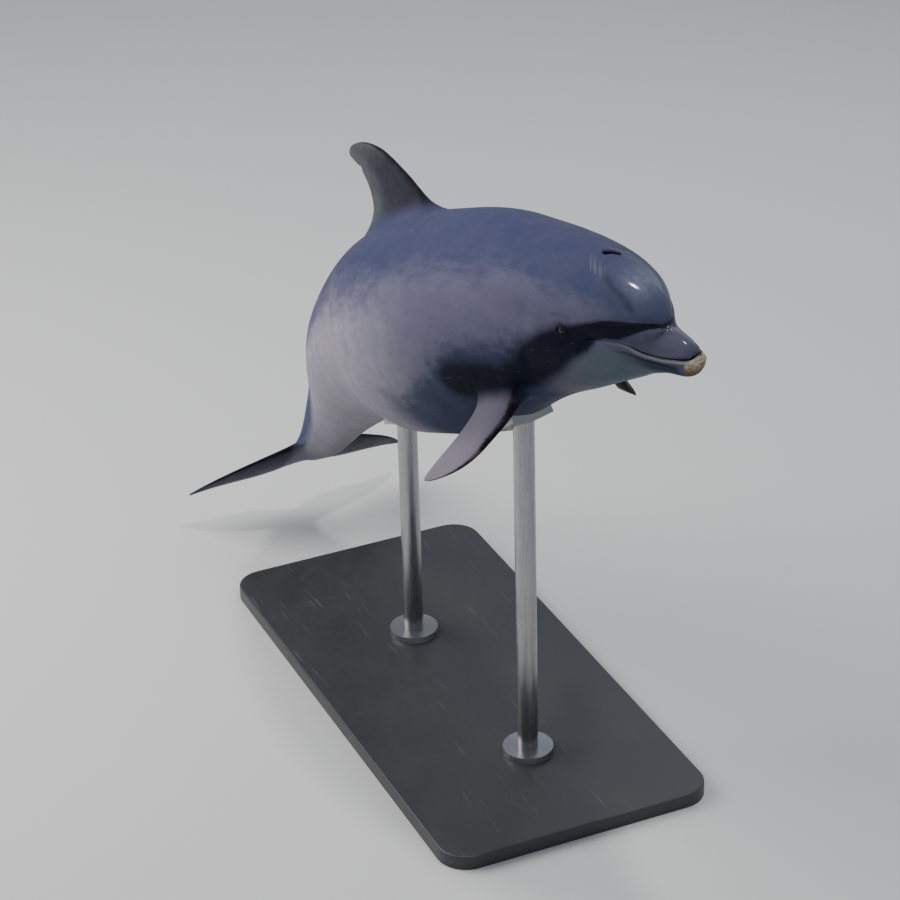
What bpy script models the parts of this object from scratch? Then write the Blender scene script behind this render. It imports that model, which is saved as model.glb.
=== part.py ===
# A life-size bottlenose dolphin, arched as in a leap, on a flat base with two rods.
# The body is lofted straight along its own length, parted there with thin cuts,
# and then bent onto the leaping spine, so every seam stays tight in the pose.
# Straight pose: s runs from the snout tip to the tail notch, y is the animal's left, z is up.
import math

import bmesh
import bpy
import numpy as np

# Driving dimensions, in metres
LENGTH = 2.25          # snout tip to tail notch
CREASE = 0.069         # the groove between beak and melon
GAPE = 0.212           # corner of the mouth
EYE_S = 0.266
EYE_Z = 0.041
EYE_RADIUS = 0.014
EYE_SUNK = 0.010       # the eyeball's centre lies this far under the cheek
CHIN_REACH = 0.014     # the lower jaw's tip stands this far ahead of the upper
GAP = 0.0004           # thin cut between neighbouring pieces
SOCKET_GAP = 0.0005
FILLET = 0.014         # how fast a fin's root runs out into the body
COLUMNS = 32           # points round the body
UPPER_STEPS = 9        # of them, steps from the back's ridge to the mouth's line
HALF = COLUMNS // 2

# Cuts between the body's pieces
NECK_CUT = 0.315
SHOULDER_CUT = 0.405
WAIST_CUT = 0.830
LOIN_CUT = 1.290
STOCK_CUT = 1.540
KEEL_CUT = 1.860

# Trunk and jaws: s, top, bottom, half width
TRUNK = (
    (0.000, 0.015, -0.014, 0.014),
    (0.010, 0.026, -0.032, 0.024),
    (0.033, 0.038, -0.047, 0.033),
    (CREASE, 0.049, -0.050, 0.041),
    (0.112, 0.058, -0.059, 0.059),
    (0.163, 0.075, -0.080, 0.087),
    (0.232, 0.104, -0.107, 0.115),
    (0.290, 0.130, -0.130, 0.132),
    (0.372, 0.170, -0.158, 0.151),
    (0.465, 0.200, -0.188, 0.172),
    (0.655, 0.228, -0.238, 0.199),
    (0.865, 0.236, -0.270, 0.211),
    (1.065, 0.231, -0.268, 0.207),
    (1.260, 0.208, -0.232, 0.180),
    (1.440, 0.177, -0.184, 0.163),
    (1.620, 0.142, -0.138, 0.122),
    (1.800, 0.108, -0.100, 0.074),
    (1.970, 0.077, -0.070, 0.048),
    (2.070, 0.051, -0.046, 0.044),
    (2.150, 0.028, -0.025, 0.055),
    (2.210, 0.015, -0.013, 0.059),
    (LENGTH, 0.007, -0.007, 0.045),
)
# Melon and brow, a second rounded hull that grows out of the first: s, top, bottom, half width
MELON = (
    (0.068, 0.054, 0.050, 0.006),
    (0.074, 0.076, 0.026, 0.022),
    (0.088, 0.098, 0.006, 0.037),
    (0.120, 0.128, -0.008, 0.064),
    (0.180, 0.160, -0.024, 0.100),
    (0.270, 0.184, -0.040, 0.125),
    (0.465, 0.201, -0.060, 0.158),
)
MELON_BLEND = 0.008
# Height of the mouth's line, and behind the gape of the flank's middle line: s, z
MOUTH = (
    (0.000, 0.006), (0.028, 0.005), (0.060, 0.002), (0.089, 0.006), (0.112, 0.014),
    (0.131, 0.025), (0.152, 0.032), (0.176, 0.033), (GAPE, 0.028), (0.310, 0.022),
    (0.570, 0.000), (1.170, -0.020), (1.900, 0.000), (LENGTH, 0.000),
)
# Ridge of the tail stock, above and below: s, added height
KEEL = ((1.35, 0.0), (1.65, 0.008), (1.95, 0.012), (2.09, 0.004), (LENGTH, 0.0))

# The leap: pitch, yaw and bank of the spine in degrees, along s
PITCH = ((0.00, 4.0), (0.12, 7.0), (0.35, 10.0), (0.68, 24.0), (0.95, 25.0), (1.12, 26.0),
         (1.32, 39.0), (1.55, 46.0), (1.90, 50.0), (LENGTH, 42.0))
YAW = ((0.0, 15.0), (0.12, 15.0), (0.55, 10.0), (1.15, 0.0), (LENGTH, 0.0))
BANK = ((0.0, 9.0), (0.15, 5.0), (0.55, -2.0), (1.15, 1.0), (LENGTH, 1.0))

# Stations of the rings, piece by piece
BEAK_RINGS = (0.0015, 0.004, 0.010, 0.020, 0.034, 0.052)
FACE_RINGS = (0.0710, 0.0745, 0.080, 0.088, 0.098, 0.109, 0.122, 0.137, 0.154, 0.173, 0.192)
CHEEK_RINGS = (0.231, 0.249, 0.267, 0.289)
FIN_RINGS = np.linspace(0.865, 1.265, 9)
FLIPPER_RINGS = np.linspace(0.430, 0.570, 5)
FLUKE_RINGS = np.linspace(2.035, 2.235, 6)

# Dorsal fin: height above the back against the distance of each edge behind the fin's front
FIN_FRONT = 0.866
FIN_LEADING = ((0.0, 0.014), (0.010, 0.022), (0.022, 0.032), (0.043, 0.050), (0.079, 0.091),
               (0.113, 0.141), (0.147, 0.192), (0.174, 0.243), (0.192, 0.284), (0.209, 0.326),
               (0.216, 0.352))
FIN_TRAILING = ((0.0, 0.398), (0.012, 0.378), (0.028, 0.355), (0.050, 0.338), (0.089, 0.331),
                (0.119, 0.338), (0.150, 0.348), (0.179, 0.366), (0.199, 0.380), (0.211, 0.383),
                (0.216, 0.374))
FIN_LEVELS = (0.0, 0.008, 0.022, 0.045, 0.072, 0.100, 0.128, 0.154, 0.177, 0.196, 0.209, 0.216)

# Flipper: distance out from the shoulder against the distance of each edge behind its front
FLIPPER_FRONT = 0.430
FLIPPER_LEADING = ((0.0, 0.000), (0.020, 0.004), (0.045, 0.009), (0.079, 0.024), (0.116, 0.049),
                   (0.150, 0.081), (0.176, 0.127), (0.193, 0.180), (0.203, 0.228), (0.208, 0.268))
FLIPPER_TRAILING = ((0.0, 0.138), (0.020, 0.154), (0.045, 0.179), (0.070, 0.203), (0.092, 0.226),
                    (0.126, 0.258), (0.152, 0.284), (0.176, 0.302), (0.193, 0.309),
                    (0.203, 0.308), (0.208, 0.299))
FLIPPER_LEVELS = (0.0, 0.010, 0.024, 0.045, 0.070, 0.098, 0.126, 0.152, 0.175, 0.192, 0.203, 0.208)
FLIPPER_COLUMN = UPPER_STEPS + 4
# Pose of each flipper in degrees: below level, leading edge turned outwards, swept back
FLIPPER_POSE = {"left": (26, -20, 14), "right": (57, 6, 0)}

# Fluke: distance from the middle line against each edge's station
FLUKE_SPAN = 0.300
FLUKE_LEADING = ((0.05, 2.060), (0.12, 2.100), (0.18, 2.145), (0.24, 2.205), (0.28, 2.263),
                 (0.297, 2.297), (0.300, 2.309))
FLUKE_TRAILING = ((0.05, 2.257), (0.09, 2.287), (0.14, 2.293), (0.20, 2.293), (0.25, 2.301),
                  (0.28, 2.313), (0.297, 2.321), (0.300, 2.319))
FLUKE_LEVELS = (0.055, 0.064, 0.078, 0.10, 0.13, 0.165, 0.20, 0.235, 0.265, 0.286, 0.297, 0.300)

# Stand
BASE_SIZE = (1.36, 0.66, 0.034)
BASE_CORNER = 0.070
BASE_EDGE = 0.004
ROD_RADIUS = 0.024
ROD_STATIONS = {"stand_rod_front": 0.660, "stand_rod_rear": 1.380}
FLANGE_RADIUS = 0.062
FLANGE_HEIGHT = 0.014
SADDLE_REACH = 0.050   # along the belly, each way
SADDLE_THICKNESS = 0.016
FLUKE_CLEARANCE = 0.100

SKIN_BACK = (0.115, 0.120, 0.150)
SKIN_FLANK = (0.205, 0.205, 0.240)
SKIN_PALE = (0.310, 0.320, 0.330)
EYE_DARK = (0.020, 0.014, 0.012)
STEEL = (0.560, 0.560, 0.550)
BASE_PAINT = (0.045, 0.048, 0.052)


def smooth_curve(rows, at):
    """A monotone cubic through the rows' (position, value) pairs, read at one or more places."""
    x, y = np.array(rows, float).T[:2]
    step = np.diff(x)
    slope = np.diff(y) / step
    tangent = np.zeros_like(y)
    inner = slope[:-1] * slope[1:] > 0
    w1 = 2 * step[1:] + step[:-1]
    w2 = step[1:] + 2 * step[:-1]
    with np.errstate(divide="ignore", invalid="ignore"):
        mean = (w1 + w2) / (w1 / slope[:-1] + w2 / slope[1:])
    tangent[1:-1] = np.where(inner, mean, 0.0)
    tangent[0], tangent[-1] = slope[0], slope[-1]
    at = np.clip(at, x[0], x[-1])
    i = np.clip(np.searchsorted(x, at) - 1, 0, len(step) - 1)
    t = (at - x[i]) / step[i]
    return ((1 + 2 * t) * (1 - t) ** 2 * y[i] + t * (1 - t) ** 2 * step[i] * tangent[i]
            + t * t * (3 - 2 * t) * y[i + 1] + t * t * (t - 1) * step[i] * tangent[i + 1])


def hull_at(rows, s):
    """Centre height, half height and half width of a hull at station s."""
    table = np.array(rows)
    top, bottom, width = (smooth_curve(table[:, [0, k]], s) for k in (1, 2, 3))
    return (top + bottom) / 2, (top - bottom) / 2, width


def reach(origin, centre, height, width, angle):
    """Distance from (0, origin) at this angle off the vertical to an ellipse, 0 where it misses."""
    across, up = np.sin(angle), np.cos(angle)
    offset = origin - centre
    a = (across / width) ** 2 + (up / height) ** 2
    b = 2 * offset * up / height**2
    inside = b * b - 4 * a * ((offset / height) ** 2 - 1)
    return np.maximum(np.where(inside > 0, (np.sqrt(np.maximum(inside, 0)) - b) / (2 * a), 0), 0)


def section(s, angle):
    """(y, z) of the skin at station s, at angles off the vertical towards the left side."""
    centre, height, width = hull_at(TRUNK, s)
    radius = reach(centre, centre, height, width, angle)
    radius = radius + smooth_curve(KEEL, s) * np.abs(np.cos(angle)) ** 12
    if MELON[0][0] < s < MELON[-1][0]:
        melon = reach(centre, *hull_at(MELON, s), angle)
        joined = (radius + melon + np.sqrt((radius - melon) ** 2 + MELON_BLEND**2)) / 2
        radius = np.where(melon > 0, np.maximum(joined - MELON_BLEND / 2, radius), radius)
    return np.sin(angle) * radius, centre + np.cos(angle) * radius


def side_angle(s, z):
    """The angle at which the section at s passes the height z."""
    angle = np.linspace(math.radians(30), math.radians(150), 241)
    height = section(s, angle)[1]
    return float(np.interp(-z, -height, angle))


def ring(s, lift=0.0):
    """The body's points at station s in the straight pose: ridge first, then left side, keel, right."""
    middle = side_angle(s, smooth_curve(MOUTH, s))
    down = np.concatenate([np.linspace(0, middle, UPPER_STEPS + 1),
                           np.linspace(middle, math.pi, HALF - UPPER_STEPS + 1)[1:]])
    angle = np.concatenate([down, -down[-2:0:-1]])
    y, z = section(s, angle)
    y = y + lift * np.sin(angle)
    z = z + lift * np.cos(angle)
    return np.column_stack([np.full(len(angle), s), y, z])


class Spine:
    """The leaping curve: where each station lies, and which way the body faces there."""

    def __init__(self):
        self.s = np.linspace(0, LENGTH, 473)
        pitch, yaw, bank = (np.radians(smooth_curve(rows, self.s)) for rows in (PITCH, YAW, BANK))
        self.forward = np.column_stack([np.cos(pitch) * np.cos(yaw), np.cos(pitch) * np.sin(yaw),
                                        np.sin(pitch)])
        level = np.column_stack([-np.sin(yaw), np.cos(yaw), 0 * yaw])
        above = np.cross(self.forward, level)
        self.left = level * np.cos(bank)[:, None] + above * np.sin(bank)[:, None]
        self.up = np.cross(self.forward, self.left)
        step = self.s[1] - self.s[0]
        walk = np.cumsum((self.forward[1:] + self.forward[:-1]) / 2 * step, axis=0)
        self.place = np.vstack([np.zeros(3), -walk])

    def at(self, s, rows):
        return np.column_stack([np.interp(s, self.s, rows[:, k]) for k in range(3)])

    def bend(self, points):
        """Carries straight-pose points (s, y, z) onto the leaping spine."""
        points = np.atleast_2d(points)
        s, y, z = points.T
        beyond = np.minimum(s, 0) + np.maximum(s - LENGTH, 0)
        return (self.at(s, self.place) + self.at(s, self.left) * y[:, None]
                + self.at(s, self.up) * z[:, None] - self.at(s, self.forward) * beyond[:, None])

    def settle(self):
        """Moves the dolphin so that its weight is over the base and its flukes clear the floor."""
        stations = np.linspace(0.02, LENGTH - 0.02, 80)
        weight = np.zeros(3)
        total = 0.0
        for s in stations:
            points = ring(s)
            y, z = points[:, 1], points[:, 2]
            area = abs(np.dot(y, np.roll(z, 1)) - np.dot(z, np.roll(y, 1))) / 2
            weight += area * self.bend([(s, 0, z.mean())])[0]
            total += area
        self.place[:, :2] -= (weight / total)[:2]
        tips = self.bend([(FLUKE_TRAILING[-1][1], side * FLUKE_SPAN, 0) for side in (-1, 1)])
        self.place[:, 2] += FLUKE_CLEARANCE - tips[:, 2].min()


def material(name, colour, roughness, metallic=0.0):
    made = bpy.data.materials.new(name)
    made.use_nodes = True
    shader = made.node_tree.nodes["Principled BSDF"]
    shader.inputs["Base Color"].default_value = (*colour, 1)
    shader.inputs["Roughness"].default_value = roughness
    shader.inputs["Metallic"].default_value = metallic
    made.diffuse_color = (*colour, 1)
    return made


def solid(name, points, faces, finish, collection):
    """A closed mesh object with its faces turned outwards and shaded smooth."""
    mesh = bpy.data.meshes.new(name)
    mesh.from_pydata([tuple(p) for p in points], [], faces)
    work = bmesh.new()
    work.from_mesh(mesh)
    bmesh.ops.recalc_face_normals(work, faces=work.faces)
    work.to_mesh(mesh)
    work.free()
    mesh.shade_smooth()
    mesh.set_sharp_from_angle(angle=math.radians(40))
    mesh.materials.append(finish)
    made = bpy.data.objects.new(name, mesh)
    collection.objects.link(made)
    return made


def loft(loops, closed=True):
    """Faces between loops of equal length, where loop k starts at k times that length."""
    count = len(loops[0])
    faces = []
    for k in range(len(loops) - 1):
        for j in range(count if closed else count - 1):
            n = (j + 1) % count
            faces.append((k * count + j, k * count + n, (k + 1) * count + n, (k + 1) * count + j))
    return faces


def body_piece(name, start, end, stations, finish, collection):
    """A length of the trunk between two cuts, with flat ends."""
    places = [start + GAP / 2, *stations, end - GAP / 2]
    loops = [ring(s) for s in places]
    faces = loft(loops)
    faces.append(tuple(range(COLUMNS)))
    faces.append(tuple((len(loops) - 1) * COLUMNS + j for j in range(COLUMNS)))
    return solid(name, SPINE.bend(np.vstack(loops)), faces, finish, collection)


def upper_half(s):
    """The part of a ring above the mouth's line, right corner first, over the top to the left."""
    points = ring(s)
    row = [points[j % COLUMNS] for j in range(-UPPER_STEPS, UPPER_STEPS + 1)]
    return np.array(row)


def lower_half(s):
    """The part of a ring below the mouth's line, left corner first, with the jaw's cut and chin."""
    points = ring(s)[UPPER_STEPS:COLUMNS - UPPER_STEPS + 1].copy()
    points[[0, -1], 2] -= GAP
    points[:, 0] -= CHIN_REACH * max(0.0, 1 - s / CREASE)
    return points


def strip_piece(name, loops, finish, collection):
    """A solid whose sections are open rows, closed by the straight line between their ends."""
    count = len(loops[0])
    faces = loft(loops)
    faces.append(tuple(range(count)))
    faces.append(tuple((len(loops) - 1) * count + j for j in range(count)))
    return solid(name, SPINE.bend(np.vstack(loops)), faces, finish, collection)


def head_piece(finish, collection):
    """Melon, cheeks and the roof of the mouth: open below as far as the gape, whole behind it."""
    uppers = [upper_half(s) for s in (CREASE + GAP / 2, *FACE_RINGS)]
    wholes = [ring(s) for s in (GAPE, *CHEEK_RINGS, NECK_CUT - GAP / 2)]
    span = len(uppers[0])
    points = np.vstack(uppers + wholes)
    faces = loft(uppers)
    faces.append(tuple(range(span)))
    last = (len(uppers) - 1) * span
    first = len(uppers) * span
    for j in range(span - 1):
        left, right = (first + (k - UPPER_STEPS) % COLUMNS for k in (j, j + 1))
        faces.append((last + j, last + j + 1, right, left))
    corners = (first + COLUMNS - UPPER_STEPS, first + UPPER_STEPS)
    faces.append((last, last + span - 1, corners[1], corners[0]))
    faces.append(tuple(first + j for j in range(UPPER_STEPS, COLUMNS - UPPER_STEPS + 1)))
    faces += [tuple(first + v for v in face) for face in loft(wholes)]
    faces.append(tuple(first + (len(wholes) - 1) * COLUMNS + j for j in range(COLUMNS)))
    return solid("head", SPINE.bend(points), faces, finish, collection)


def patch_root(stations, column, lift):
    """Three rows of skin points about a column: the footprint from which a fin grows."""
    rings = [ring(s, lift) for s in stations]
    return [np.array([r[(column + k) % COLUMNS] for r in rings]) for k in (-1, 0, 1)]


def fin_piece(name, stations, column, levels, finish, collection):
    """A fin that grows from the skin, from a footprint of body points through loops of equal length."""
    before, middle, after = patch_root(stations, column, GAP)
    count = len(stations)
    edge = np.vstack([middle[:1], before, middle[-1:], after[::-1]])
    heights, outlines = levels(edge)
    loops = [edge]
    for height, outline in zip(heights[1:], outlines[1:]):
        fillet = math.exp(-height / FILLET)
        loops.append(outline + fillet * (edge - outlines[0]))
    faces = loft(loops)
    size = len(edge)
    inner = [0, *range(size * len(loops), size * len(loops) + count - 2), count + 1]
    for i in range(count - 1):
        near, far = 1 + i, size - 1 - i
        faces.append((near, near + 1, inner[i + 1], inner[i]))
        faces.append((far, far - 1, inner[i + 1], inner[i]))
    top = size * (len(loops) - 1)
    for i in range(count - 1):
        faces.append((top + 1 + i, top + 2 + i, top + size - 2 - i, top + size - 1 - i))
    faces.append((top, top + 1, top + size - 1))
    faces.append((top + count + 1, top + count, top + count + 2))
    points = np.vstack([*loops, middle[1:-1]])
    return solid(name, SPINE.bend(points), faces, finish, collection)


def chord_steps(size):
    """For each point of a loop: its place along the chord, front 0 to rear 1, and its side."""
    count = (size - 2) // 2
    along = (1 - np.cos(np.pi * (np.arange(count) + 0.62) / (count + 0.24))) / 2
    place = np.concatenate([[0.0], along, [1.0], along[::-1]])
    side = np.concatenate([[0.0], np.ones(count), [0.0], -np.ones(count)])
    return place, side


def foil(place):
    """Half thickness along the chord: blunt at the front, fine at the rear, 1 at its fullest."""
    return np.clip(2.6 * np.sqrt(np.clip(place, 0, 1)) * (1 - place) ** 0.85, 0.16, 1.0)


def dorsal_levels(edge):
    """Heights and outlines of the dorsal fin, each level parallel to the back."""
    place, side = chord_steps(len(edge))
    outlines = []
    for level in FIN_LEVELS:
        lead = FIN_FRONT + smooth_curve(FIN_LEADING, level)
        trail = FIN_FRONT + smooth_curve(FIN_TRAILING, level)
        s = lead + (trail - lead) * place
        rest = 1 - level / (FIN_LEVELS[-1] + 0.030)
        half = 0.024 * rest ** 0.8 * foil(place)
        back = np.array([ring(x)[0, 2] for x in s])
        outlines.append(np.column_stack([s, -side * half, back + level]))
    return FIN_LEVELS, outlines


def flipper_levels(edge, side_sign, pose):
    """Heights and outlines of a flipper, each parallel to the flank, further out and further back."""
    place, side = chord_steps(len(edge))
    droop, twist, sweep = np.radians(pose)
    out = np.array([0, side_sign * math.cos(droop), -math.sin(droop)])
    thick = np.array([0, math.sin(droop), side_sign * math.cos(droop)])
    column = side_sign * FLIPPER_COLUMN
    shoulder = ring(FLIPPER_FRONT + FLIPPER_TRAILING[0][1] / 2)[column]
    outlines = []
    for level in FLIPPER_LEVELS:
        lead = FLIPPER_FRONT + smooth_curve(FLIPPER_LEADING, level)
        trail = FLIPPER_FRONT + smooth_curve(FLIPPER_TRAILING, level)
        s = lead + (trail - lead) * place
        behind = level * math.tan(sweep)
        rest = 1 - level / (FLIPPER_LEVELS[-1] + 0.012)
        half = 0.021 * rest ** 0.7 * foil(place)
        turn = side_sign * math.tan(twist) * (lead + trail - 2 * s) / 2 * min(1, level / 0.1)
        flank = np.array([ring(x)[column] for x in s])
        start = shoulder + math.exp(-level / 0.060) * (flank - shoulder)
        outline = start + out * level + np.outer(side * half + turn, thick)
        outline[:, 0] = s + behind
        outlines.append(outline)
    return FLIPPER_LEVELS, outlines


def fluke_levels(edge, side_sign):
    """Heights and outlines of a fluke, each parallel to the animal's middle plane."""
    place, side = chord_steps(len(edge))
    outlines = []
    for reach_out in FLUKE_LEVELS:
        lead = smooth_curve(FLUKE_LEADING, reach_out)
        trail = smooth_curve(FLUKE_TRAILING, reach_out)
        s = lead + (trail - lead) * place
        half = 0.013 * (1 - (reach_out / 0.33) ** 1.5) * foil(place)
        y = np.full(len(s), side_sign * reach_out)
        outlines.append(np.column_stack([s, y, side * half * side_sign]))
    return [reach_out - FLUKE_LEVELS[0] for reach_out in FLUKE_LEVELS], outlines


def eye_place(side_sign):
    """Centre of the eyeball in the straight pose, sunk along the cheek's own normal."""
    angle = side_angle(EYE_S, EYE_Z)
    y, z = section(EYE_S, np.array([angle]))
    ahead = section(EYE_S - 0.01, np.array([angle]))[0]
    lean = (y[0] - ahead[0]) / 0.01
    normal = np.array([-lean, 1.0, 0.12])
    normal /= np.linalg.norm(normal)
    centre = np.array([EYE_S, y[0], z[0]]) - normal * EYE_SUNK
    centre[1] *= side_sign
    return SPINE.bend(centre)[0]


def ball(name, centre, radius, segments, collection):
    mesh = bpy.data.meshes.new(name)
    work = bmesh.new()
    bmesh.ops.create_uvsphere(work, u_segments=segments, v_segments=segments * 5 // 8, radius=radius)
    work.to_mesh(mesh)
    work.free()
    mesh.shade_smooth()
    made = bpy.data.objects.new(name, mesh)
    made.location = centre
    collection.objects.link(made)
    return made


def add_boolean(target, other, operation):
    step = target.modifiers.new(other.name, "BOOLEAN")
    step.operation = operation
    step.solver = "EXACT"
    step.object = other


def hide_helper(helper):
    helper.hide_render = True
    helper.display_type = "WIRE"


def eyes(head, finish, collection, cutters):
    for side, sign in (("left", 1), ("right", -1)):
        centre = eye_place(sign)
        eye = ball(f"eye_{side}", centre, EYE_RADIUS, 16, collection)
        eye.data.materials.append(finish)
        socket = ball(f"socket_{side}", centre, EYE_RADIUS + SOCKET_GAP, 24, cutters)
        hide_helper(socket)
        add_boolean(head, socket, "DIFFERENCE")


def stand_base(finish, collection):
    """A rounded plate on the floor, its underside at height zero."""
    height = BASE_SIZE[2]
    mesh = bpy.data.meshes.new("stand_base")
    work = bmesh.new()
    bmesh.ops.create_cube(work, size=1)
    bmesh.ops.scale(work, vec=BASE_SIZE, verts=work.verts)
    bmesh.ops.translate(work, vec=(0, 0, height / 2), verts=work.verts)
    upright = [e for e in work.edges if abs(e.verts[0].co.z - e.verts[1].co.z) > height / 2]
    bmesh.ops.bevel(work, geom=upright, offset=BASE_CORNER, segments=8, profile=0.5,
                    affect="EDGES", material=-1)
    rim = [e for e in work.edges if all(v.co.z > height - 1e-4 for v in e.verts)]
    bmesh.ops.bevel(work, geom=rim, offset=BASE_EDGE, segments=2, profile=0.5,
                    affect="EDGES", material=-1)
    work.to_mesh(mesh)
    work.free()
    mesh.shade_smooth()
    mesh.set_sharp_from_angle(angle=math.radians(40))
    mesh.materials.append(finish)
    made = bpy.data.objects.new("stand_base", mesh)
    collection.objects.link(made)
    return made


def saddle(name, station, finish, collection):
    """A pad that fits the belly about a station, thick enough to take the rod's head."""
    stations = np.linspace(station - SADDLE_REACH, station + SADDLE_REACH, 3)
    columns = range(HALF - 1, HALF + 2)
    layers = []
    for lift in (GAP, GAP + SADDLE_THICKNESS):
        rings = [ring(s, lift) for s in stations]
        layers.append([[r[j] for j in columns] for r in rings])
    points = np.array(layers).reshape(-1, 3)
    rows, across = len(stations), len(columns)
    faces = []
    for i in range(rows - 1):
        for j in range(across - 1):
            corner = i * across + j
            quad = (corner, corner + 1, corner + across + 1, corner + across)
            faces.append(quad)
            faces.append(tuple(rows * across + v for v in quad))
    rim = [*range(across), *(i * across + across - 1 for i in range(1, rows)),
           *((rows - 1) * across + j for j in range(across - 2, -1, -1)),
           *(i * across for i in range(rows - 2, 0, -1))]
    for a, b in zip(rim, rim[1:] + rim[:1]):
        faces.append((a, b, rows * across + b, rows * across + a))
    return solid(name, SPINE.bend(points), faces, finish, collection)


def rod(name, station, finish, collection, cutters):
    """A round rod from its flange on the base up into the saddle under the belly."""
    pad = saddle(name, station, finish, collection)
    belly = SPINE.bend(ring(station, GAP + SADDLE_THICKNESS * 0.45)[HALF])[0]
    ahead, behind = SPINE.bend([ring(station + d, 0)[HALF] for d in (-SADDLE_REACH, SADDLE_REACH)])
    side_a, side_b = SPINE.bend(ring(station, 0)[[HALF - 1, HALF + 1]])
    normal = np.cross(ahead - behind, side_a - side_b)
    foot = BASE_SIZE[2] + GAP
    mesh = bpy.data.meshes.new(name + "_shaft")
    work = bmesh.new()
    bmesh.ops.create_cone(work, cap_ends=True, segments=28, radius1=ROD_RADIUS,
                          radius2=ROD_RADIUS, depth=1)
    for vert in work.verts:
        top = vert.co.z > 0
        vert.co.x += belly[0]
        vert.co.y += belly[1]
        slope = normal[0] * (vert.co.x - belly[0]) + normal[1] * (vert.co.y - belly[1])
        vert.co.z = belly[2] - slope / normal[2] if top else foot + FLANGE_HEIGHT / 2
    work.to_mesh(mesh)
    work.free()
    shaft = bpy.data.objects.new(name + "_shaft", mesh)
    cutters.objects.link(shaft)
    hide_helper(shaft)
    mesh = bpy.data.meshes.new(name + "_flange")
    work = bmesh.new()
    bmesh.ops.create_cone(work, cap_ends=True, segments=36, radius1=FLANGE_RADIUS,
                          radius2=FLANGE_RADIUS - 0.003, depth=FLANGE_HEIGHT)
    bmesh.ops.translate(work, vec=(belly[0], belly[1], foot + FLANGE_HEIGHT / 2),
                        verts=work.verts)
    work.to_mesh(mesh)
    work.free()
    flange = bpy.data.objects.new(name + "_flange", mesh)
    cutters.objects.link(flange)
    hide_helper(flange)
    add_boolean(pad, shaft, "UNION")
    add_boolean(pad, flange, "UNION")
    return pad


def clear_scene():
    for thing in list(bpy.data.objects):
        bpy.data.objects.remove(thing, do_unlink=True)


def new_collection(name):
    made = bpy.data.collections.new(name)
    bpy.context.scene.collection.children.link(made)
    return made


def main():
    clear_scene()
    parts = new_collection("bottlenose_dolphin")
    cutters = new_collection("cutters")
    cutters.hide_render = True
    back = material("skin_back", SKIN_BACK, 0.32)
    flank = material("skin_flank", SKIN_FLANK, 0.34)
    pale = material("skin_pale", SKIN_PALE, 0.36)
    eye = material("eye", EYE_DARK, 0.08)
    steel = material("rod_steel", STEEL, 0.30, 1.0)
    paint = material("base_paint", BASE_PAINT, 0.55)

    beak = (*BEAK_RINGS, CREASE - GAP / 2)
    strip_piece("upper_beak", [upper_half(s) for s in beak], flank, parts)
    jaw = (*BEAK_RINGS, CREASE, *FACE_RINGS, GAPE - GAP)
    strip_piece("lower_jaw", [lower_half(s) for s in jaw], pale, parts)
    head = head_piece(flank, parts)
    eyes(head, eye, parts, cutters)

    body_piece("neck", NECK_CUT, SHOULDER_CUT, (0.340, 0.362, 0.384), flank, parts)
    body_piece("chest", SHOULDER_CUT, WAIST_CUT,
               (*FLIPPER_RINGS, 0.610, 0.655, 0.700, 0.745, 0.790), flank, parts)
    body_piece("trunk", WAIST_CUT, LOIN_CUT, FIN_RINGS, back, parts)
    body_piece("loin", LOIN_CUT, STOCK_CUT, (1.335, 1.385, 1.435, 1.485), flank, parts)
    body_piece("tail_stock_front", STOCK_CUT, KEEL_CUT, (1.600, 1.665, 1.730, 1.795), back, parts)
    body_piece("tail_stock_rear", KEEL_CUT, LENGTH, (1.920, 1.980, *FLUKE_RINGS), back, parts)

    fin_piece("dorsal_fin", FIN_RINGS, 0, dorsal_levels, back, parts)
    for side, sign in (("left", 1), ("right", -1)):
        fin_piece(f"flipper_{side}", FLIPPER_RINGS, sign * FLIPPER_COLUMN,
                  lambda edge: flipper_levels(edge, sign, FLIPPER_POSE[side]), back, parts)
        fin_piece(f"fluke_{side}", FLUKE_RINGS, sign * UPPER_STEPS,
                  lambda edge: fluke_levels(edge, sign), back, parts)

    stand_base(paint, parts)
    for name, station in ROD_STATIONS.items():
        rod(name, station, steel, parts, cutters)


SPINE = Spine()
SPINE.settle()
main()
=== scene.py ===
import math

import bmesh
import bpy
import numpy as np
from mathutils import Matrix, Vector, noise
from mathutils.bvhtree import BVHTree


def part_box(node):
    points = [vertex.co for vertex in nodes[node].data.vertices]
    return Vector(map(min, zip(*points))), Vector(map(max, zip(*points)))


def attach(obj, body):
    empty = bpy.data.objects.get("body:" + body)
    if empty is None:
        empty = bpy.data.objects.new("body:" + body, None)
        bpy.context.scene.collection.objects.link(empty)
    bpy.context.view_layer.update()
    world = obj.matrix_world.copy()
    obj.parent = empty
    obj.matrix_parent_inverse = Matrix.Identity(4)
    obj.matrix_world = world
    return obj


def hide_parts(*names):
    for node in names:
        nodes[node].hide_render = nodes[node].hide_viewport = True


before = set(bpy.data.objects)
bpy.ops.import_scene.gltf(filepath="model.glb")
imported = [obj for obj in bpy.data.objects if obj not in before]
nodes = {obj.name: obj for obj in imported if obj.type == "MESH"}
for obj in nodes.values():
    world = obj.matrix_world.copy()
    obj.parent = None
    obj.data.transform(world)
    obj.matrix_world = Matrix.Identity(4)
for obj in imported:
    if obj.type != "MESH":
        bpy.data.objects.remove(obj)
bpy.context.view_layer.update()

fleshNodes = ["upper_beak", "lower_jaw", "head", "neck", "chest", "trunk", "loin",
              "tail_stock_front", "tail_stock_rear", "dorsal_fin", "flipper_left",
              "flipper_right", "fluke_left", "fluke_right"]

limbNames = ["dorsal_fin", "flipper", "fluke"]

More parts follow.
